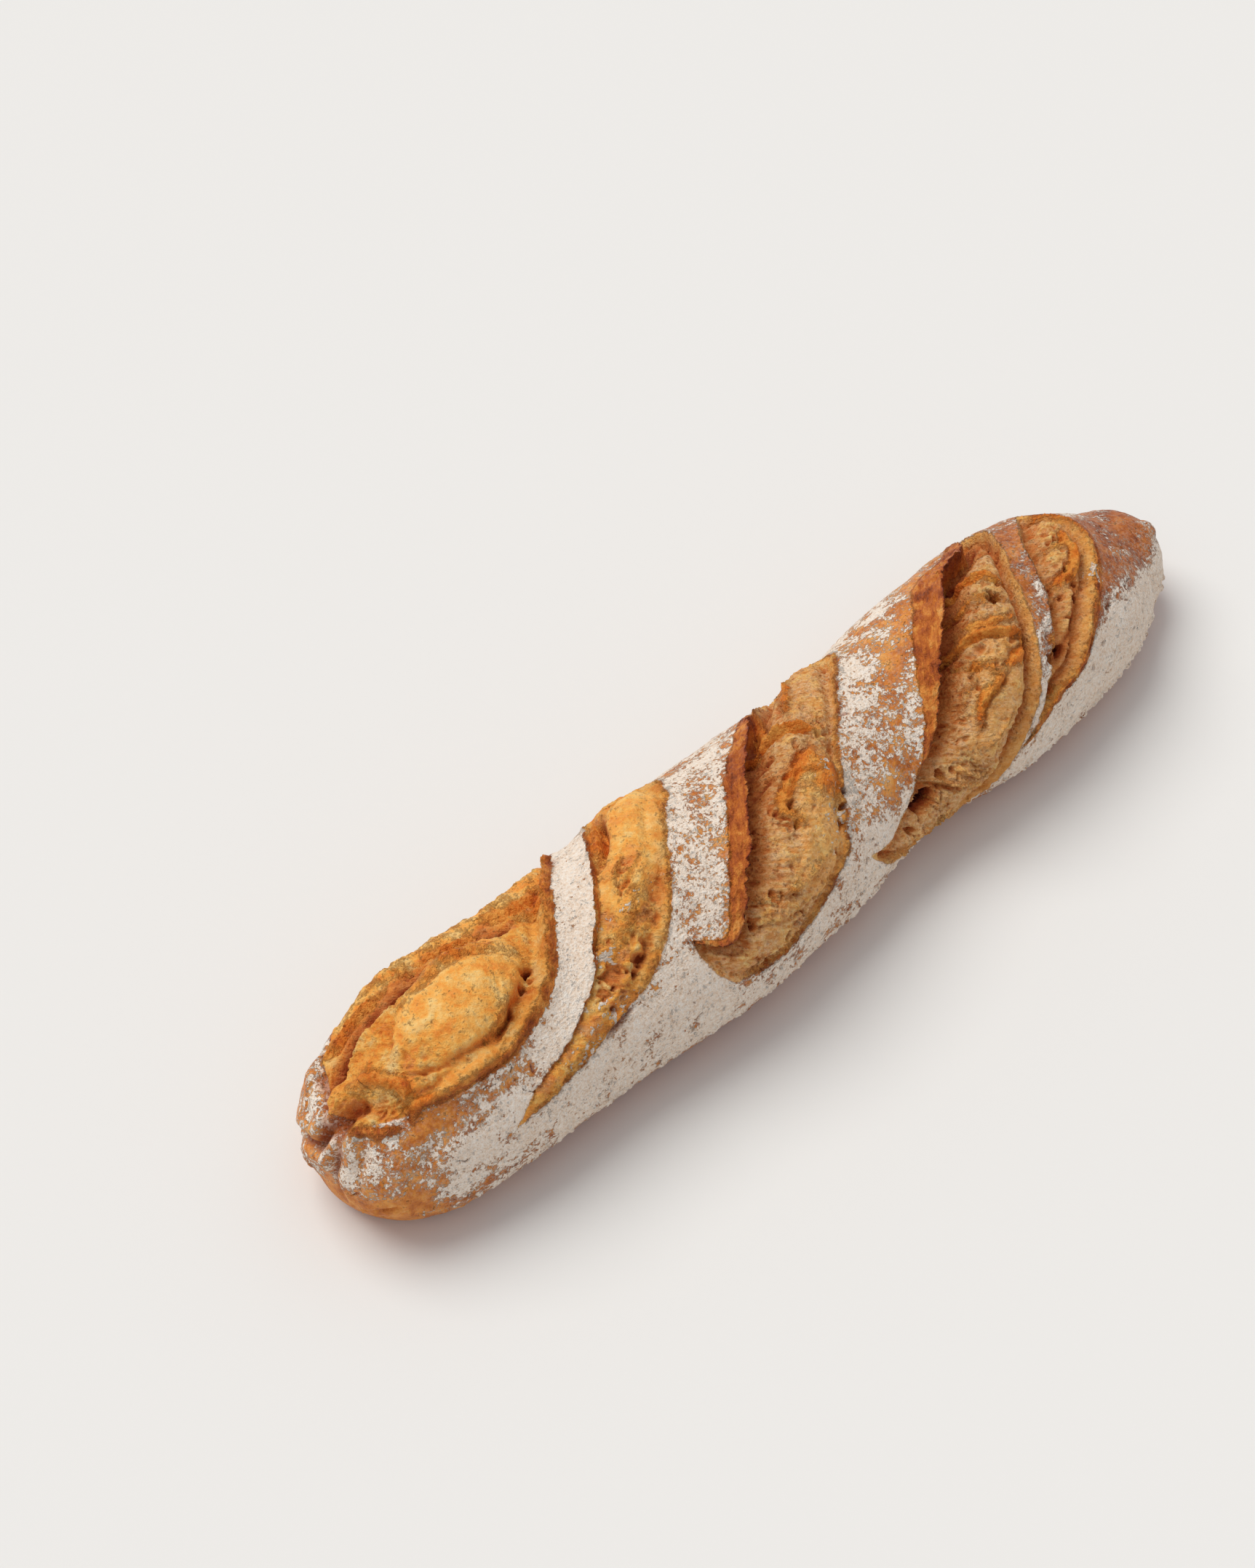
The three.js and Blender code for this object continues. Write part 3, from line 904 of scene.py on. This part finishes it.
class Recipe:
    """Small helper that lays out one material's nodes."""

    def __init__(self, name):
        self.material = bpy.data.materials.new(name)
        self.material.use_nodes = True
        self.tree = self.material.node_tree
        self.shader = self.tree.nodes["Principled BSDF"]
        self.position = self.tree.nodes.new("ShaderNodeTexCoord").outputs["Object"]

    def feed(self, socket, value):
        if isinstance(value, bpy.types.NodeSocket):
            self.tree.links.new(value, socket)
        else:
            socket.default_value = value

    def mark(self, name):
        """One of the crust's finishes, as written on its corners."""
        node = self.tree.nodes.new("ShaderNodeAttribute")
        node.attribute_name = name
        return node.outputs["Fac"]

    def speckle(self, size, detail=3.0, roughness=0.5, stretch=None):
        """Noise whose features are about the given number of millimetres.

        It can be drawn out: stretch is the direction in degrees and how many times as long.
        """
        node = self.tree.nodes.new("ShaderNodeTexNoise")
        place = self.position
        if stretch:
            mapping = self.tree.nodes.new("ShaderNodeMapping")
            self.feed(mapping.inputs["Vector"], place)
            mapping.vector_type = "TEXTURE"
            mapping.inputs["Rotation"].default_value = (0.0, 0.0, math.radians(stretch[0]))
            mapping.inputs["Scale"].default_value = (stretch[1], 1.0, 1.0)
            place = mapping.outputs["Vector"]
        self.feed(node.inputs["Vector"], place)
        node.inputs["Scale"].default_value = 1000 / size
        node.inputs["Detail"].default_value = detail
        node.inputs["Roughness"].default_value = roughness
        return node.outputs["Fac"]

    def pores(self, size):
        """0 in the middle of each pore, growing outwards."""
        node = self.tree.nodes.new("ShaderNodeTexVoronoi")
        self.feed(node.inputs["Vector"], self.position)
        node.inputs["Scale"].default_value = 1000 / size
        return node.outputs["Distance"]

    def combine(self, operation, a, b=0.0, c=0.0):
        node = self.tree.nodes.new("ShaderNodeMath")
        node.operation = operation
        for socket, value in zip(node.inputs, (a, b, c)):
            self.feed(socket, value)
        return node.outputs[0]

    def times(self, first, *others):
        """The product of several values."""
        for other in others:
            first = self.combine("MULTIPLY", first, other)
        return first

    def scaled(self, value, factor, start):
        """The value times a factor, on top of a start."""
        return self.combine("MULTIPLY_ADD", value, factor, start)

    def mixed(self, first, share, second):
        """A share of the first pattern and the rest of the second."""
        return self.scaled(first, share, self.combine("MULTIPLY", second, 1 - share))

    def roughened(self, mark, pattern, strength):
        """A mark whose edge is broken up by a pattern."""
        return self.scaled(self.combine("SUBTRACT", pattern, 0.5), strength, mark)

    def without(self, value):
        """1 where the value is 0, and 0 where it is 1."""
        return self.combine("SUBTRACT", 1.0, value)

    def between(self, value, low, high):
        """0 below low, 1 above high."""
        node = self.tree.nodes.new("ShaderNodeMapRange")
        node.interpolation_type = "SMOOTHSTEP"
        self.feed(node.inputs["Value"], value)
        self.feed(node.inputs["From Min"], low)
        self.feed(node.inputs["From Max"], high)
        return node.outputs["Result"]

    def blend(self, amount, first, second, way="MIX"):
        node = self.tree.nodes.new("ShaderNodeMix")
        node.data_type = "RGBA"
        node.blend_type = way
        self.feed(node.inputs[0], amount)
        self.feed(node.inputs[6], first)
        self.feed(node.inputs[7], second)
        return node.outputs[2]

    def deepen(self, amount, colour, shade):
        """A colour darkened by a shade."""
        return self.blend(amount, colour, shade, "MULTIPLY")

    def ramp(self, value, *stops):
        """A colour read off stops, each given as place and tone."""
        node = self.tree.nodes.new("ShaderNodeValToRGB")
        self.feed(node.inputs["Fac"], value)
        elements = node.color_ramp.elements
        while len(elements) < len(stops):
            elements.new(0.5)
        for element, (place, colour) in zip(elements, stops):
            element.position = place
            element.color = tone(*colour)
        return node.outputs["Color"]


class Patterns:
    """The patterns that crust, crumb and flour share, from coarse to fine."""

    def __init__(self, r):
        self.patch = r.speckle(8, 4, 0.6)
        self.fleck = r.speckle(2.6, 5, 0.65)
        self.speck = r.speckle(0.9, 3, 0.6)
        self.mottled = r.mixed(self.patch, 0.5, self.fleck)
        self.stippled = r.mixed(self.fleck, 0.6, self.speck)
        self.dappled = r.mixed(self.patch, 0.5, self.stippled)
        self.drawn = r.speckle(1.5, 4, 0.65, stretch=(47.0, 4.0))
        self.strands = r.speckle(1.3, 4, 0.7, stretch=(-43.0, 4.5))


def crust_colour(r, p, marks):
    """Orange-brown where the crust is thin, red-brown where it baked longest, with painted shade in
    cracks and hollows.
    """
    light = r.ramp(p.mottled, (0.36, (166, 88, 24)), (0.46, (208, 120, 36)),
                   (0.54, (228, 148, 58)), (0.66, (240, 178, 94)))
    dark = r.ramp(p.mottled, (0.36, (108, 44, 12)), (0.46, (154, 76, 24)),
                  (0.54, (182, 100, 40)), (0.66, (204, 130, 68)))
    crust = r.blend(marks["baked"], light, dark)
    # painted shade: the crust darkens where its height is sunk in cracks and hollows
    return r.deepen(r.times(marks["sunk"], 0.8), crust, tone(176, 124, 92))


def toasted_colour(r, p, marks):
    """Ears are streaked red-brown, and crumb that caught the heat is bright orange."""
    ear = r.ramp(r.mixed(p.patch, 0.6, p.drawn), (0.36, (126, 56, 18)), (0.44, (174, 84, 26)),
                 (0.52, (206, 114, 38)), (0.59, (232, 150, 64)), (0.68, (246, 190, 114)))
    caught = r.ramp(p.dappled, (0.38, (206, 94, 18)), (0.48, (238, 132, 36)), (0.60, (254, 176, 78)))
    return r.blend(r.between(marks["opening"], 0.4, 2.0), ear, caught)


def crumb_colour(r, p, marks, pits):
    """Tan in the depths of the openings, golden where the crumb rose towards the heat, with painted
    highlights on crests and painted shade in hollows.
    """
    gold, height = marks["gold"], marks["height"]
    pale = r.ramp(p.stippled, (0.36, (208, 152, 90)), (0.46, (234, 185, 120)),
                  (0.56, (248, 202, 150)), (0.70, (255, 228, 188)))
    golden = r.ramp(r.mixed(p.patch, 0.7, p.stippled), (0.40, (242, 138, 38)), (0.46, (254, 172, 68)),
                    (0.53, (255, 194, 98)), (0.62, (255, 220, 148)))
    warmth = r.scaled(height, 0.28, r.roughened(gold, p.patch, 2.2))
    crumb = r.blend(r.between(warmth, 0.1, 0.85), pale, golden)

    # strands, streaks, and pits darkened with painted shade
    drawn_out = r.times(r.without(r.between(p.strands, 0.36, 0.58)), r.scaled(gold, -0.45, 1.0))
    crumb = r.deepen(drawn_out, crumb, tone(235, 192, 140))
    crumb = r.deepen(r.times(pits, 0.75), crumb, tone(196, 132, 84))
    streaks = r.between(r.speckle(2.2, 4, 0.65, stretch=(-43.0, 3.0)), 0.50, 0.64)
    crumb = r.blend(r.times(streaks, r.scaled(gold, 0.3, 0.1)), crumb, tone(240, 152, 60))

    # smooth skins and the walls that climb to the crust
    skin = r.ramp(p.dappled, (0.38, (246, 150, 50)), (0.48, (254, 184, 86)), (0.62, (255, 214, 134)))
    crumb = r.blend(r.times(marks["smooth"], 0.75), crumb, skin)
    walls = r.ramp(p.mottled, (0.38, (214, 128, 40)), (0.5, (238, 164, 74)), (0.62, (250, 196, 118)))
    crumb = r.blend(r.times(marks["wall"], 0.65), crumb, walls)

    # painted highlight on the crests, and painted shade darker step by step into the pockets and holes
    crumb = r.blend(r.times(r.between(height, 0.2, 1.6), 0.35), crumb, tone(255, 216, 142))
    crumb = r.deepen(r.between(height, -0.3, -1.9), crumb, tone(238, 194, 150))
    crumb = r.deepen(r.between(height, -1.9, -3.8), crumb, tone(204, 150, 104))
    return r.deepen(r.between(height, -3.8, -5.6), crumb, tone(134, 90, 58))


def flour_cover(r, p, marks, in_crumb):
    """Flour in clumps that close up into a coat where it was heavy. Returns the cover and the clumps."""
    flour, spill = marks["flour"], marks["spill"]
    clumps = r.combine("ADD", r.times(r.speckle(1.7, 4, 0.72), 0.42), r.times(r.speckle(5, 3), 0.26))
    clumps = r.combine("ADD", clumps, r.times(r.speckle(15, 2), 0.24))
    clumps = r.scaled(p.speck, 0.18, r.combine("ADD", clumps, -0.05))
    bare = r.scaled(flour, -0.34, 0.69)
    thin = r.times(r.between(clumps, r.combine("ADD", bare, -0.035), bare),
                   r.scaled(marks["baked"], 0.38, 0.08))
    thick = r.between(clumps, r.combine("ADD", bare, -0.005), r.combine("ADD", bare, 0.03))
    pitted = r.between(r.scaled(flour, 0.16, r.speckle(1.4, 3, 0.6)), 0.40, 0.47)
    cover = r.times(r.combine("MAXIMUM", thin, thick), pitted, r.between(flour, 0.05, 0.25),
                    r.without(in_crumb), r.scaled(marks["sunk"], -0.75, 1.0))
    fallen = r.times(r.between(r.scaled(spill, 0.2, r.speckle(2.0, 2, 0.6)), 0.66, 0.70),
                     r.between(spill, 0.05, 0.3))
    return r.combine("MAXIMUM", cover, fallen), clumps


def make_baked_crust():
    r = Recipe("baked_crust")
    marks = {name: r.mark(name) for name in FINISHES}
    # sunk marks cracks and hollows: it paints shade into the crust there, and also thins the flour
    marks["sunk"] = r.between(marks["height"], -0.5, -1.8)
    p = Patterns(r)
    # pits: pores, dented in the bump and darkened in the crumb's colour as painted shade
    pits = r.times(r.without(r.between(r.pores(2.0), 0.12, 0.40)), r.between(r.speckle(6, 2), 0.40, 0.60),
                   r.scaled(marks["gold"], -0.6, 1.0))

    in_crumb = r.between(r.roughened(marks["opening"], p.stippled, 3.0), -0.3, 0.3)
    colour = r.blend(in_crumb, crust_colour(r, p, marks), crumb_colour(r, p, marks, pits))
    toasted = r.between(r.roughened(marks["toast"], p.stippled, 2.4), 0.15, 0.6)
    colour = r.blend(toasted, colour, toasted_colour(r, p, marks))
    charred = r.between(r.roughened(marks["char"], p.stippled, 3.0), 0.35, 1.2)
    colour = r.deepen(r.times(charred, 0.85), colour, tone(196, 128, 96))

    floured, clumps = flour_cover(r, p, marks, in_crumb)
    white = r.ramp(r.mixed(clumps, 0.5, p.speck), (0.40, (234, 208, 182)), (0.50, (249, 232, 213)),
                   (0.62, (255, 247, 235)))
    powder = r.times(r.between(marks["flour"], 0.1, 0.7), r.between(r.speckle(1.2, 4, 0.72), 0.50, 0.58),
                     r.without(in_crumb), r.without(toasted), r.scaled(marks["baked"], 0.15, 0.17))
    colour = r.blend(powder, colour, tone(238, 216, 198))
    colour = r.blend(r.times(floured, 0.96), colour, white)
    r.feed(r.shader.inputs["Base Color"], colour)

    roughness = r.scaled(in_crumb, 0.14, r.scaled(floured, 0.38, 0.52))
    r.feed(r.shader.inputs["Roughness"], r.combine("MINIMUM", roughness, 0.95))
    r.shader.inputs["Specular IOR Level"].default_value = 0.35

    grit = r.combine("MULTIPLY_ADD", floured, r.scaled(p.speck, 1.2, 0.3), r.times(p.fleck, 0.9))
    grit = r.combine("MULTIPLY_ADD", toasted, r.scaled(p.drawn, 2.0, r.times(p.speck, 1.2)), grit)
    web = r.combine("SUBTRACT", r.scaled(p.strands, 2.0, r.times(r.speckle(1.1, 4, 0.7), 1.4)), pits)
    web = r.times(web, in_crumb, r.scaled(marks["smooth"], -0.6, 1.0))
    bump = r.tree.nodes.new("ShaderNodeBump")
    bump.inputs["Strength"].default_value = 0.85
    bump.inputs["Distance"].default_value = MM
    r.feed(bump.inputs["Height"], r.scaled(web, 0.8, grit))
    r.feed(r.shader.inputs["Normal"], bump.outputs["Normal"])
    return r.material


# ---------------------------------------------------------------- the piece
loaf_mesh = thin_out(shape_loaf(FINE_RINGS, FINE_SPOKES), MAX_TRIANGLES)
loaf_mesh = finish_loaf(loaf_mesh)
loaf_mesh.name = "baked_loaf"
loaf_mesh.materials.append(make_baked_crust())
baked_loaf = bpy.data.objects.new("baked_loaf", loaf_mesh)
bpy.context.scene.collection.objects.link(baked_loaf)
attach(baked_loaf, "root")
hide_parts("loaf")


# ---------------------------------------------------------------- floor, light and camera
def make_floor():
    floor_bm = bmesh.new()
    bmesh.ops.create_grid(floor_bm, x_segments=1, y_segments=1, size=FLOOR_HALF_SIDE)
    mesh = bpy.data.meshes.new("floor")
    floor_bm.to_mesh(mesh)
    floor_bm.free()
    paper = bpy.data.materials.new("pale_paper")
    paper.use_nodes = True
    shader = paper.node_tree.nodes["Principled BSDF"]
    shader.inputs["Base Color"].default_value = tone(236, 235, 232)
    shader.inputs["Roughness"].default_value = 0.9
    mesh.materials.append(paper)
    floor = bpy.data.objects.new("floor", mesh)
    bpy.context.scene.collection.objects.link(floor)


def make_window_light(towards, spread, strength, colour):
    lamp = bpy.data.lights.new("window", "SUN")
    lamp.angle = math.radians(spread)
    lamp.energy = strength
    lamp.color = colour
    holder = bpy.data.objects.new("window", lamp)
    holder.rotation_euler = Vector(towards).to_track_quat("-Z", "Y").to_euler()
    bpy.context.scene.collection.objects.link(holder)


def make_room_light(strength, colour):
    room = bpy.data.worlds.new("room")
    room.use_nodes = True
    room.node_tree.nodes["Background"].inputs["Color"].default_value = colour
    room.node_tree.nodes["Background"].inputs["Strength"].default_value = strength
    bpy.context.scene.world = room


def make_camera():
    elevation, heading = math.radians(CAMERA_ELEVATION), math.radians(CAMERA_HEADING)
    look = Vector((math.sin(heading) * math.cos(elevation), math.cos(heading) * math.cos(elevation),
                   -math.sin(elevation)))
    camera = bpy.data.cameras.new("camera")
    camera.lens = CAMERA_LENS
    camera.clip_start = 0.01
    camera.clip_end = 20.0
    holder = bpy.data.objects.new("camera", camera)
    holder.location = Vector(CAMERA_AIM) - look * CAMERA_DISTANCE
    holder.rotation_euler = look.to_track_quat("-Z", "Y").to_euler()
    bpy.context.scene.collection.objects.link(holder)
    bpy.context.scene.camera = holder


make_floor()
make_camera()
make_window_light(towards=(0.28, -0.96, -1.7), spread=44, strength=1.94, colour=(1.0, 0.985, 0.95))
make_room_light(strength=0.49, colour=(0.98, 0.97, 1.0, 1.0))
bpy.context.scene.view_settings.view_transform = "Standard"
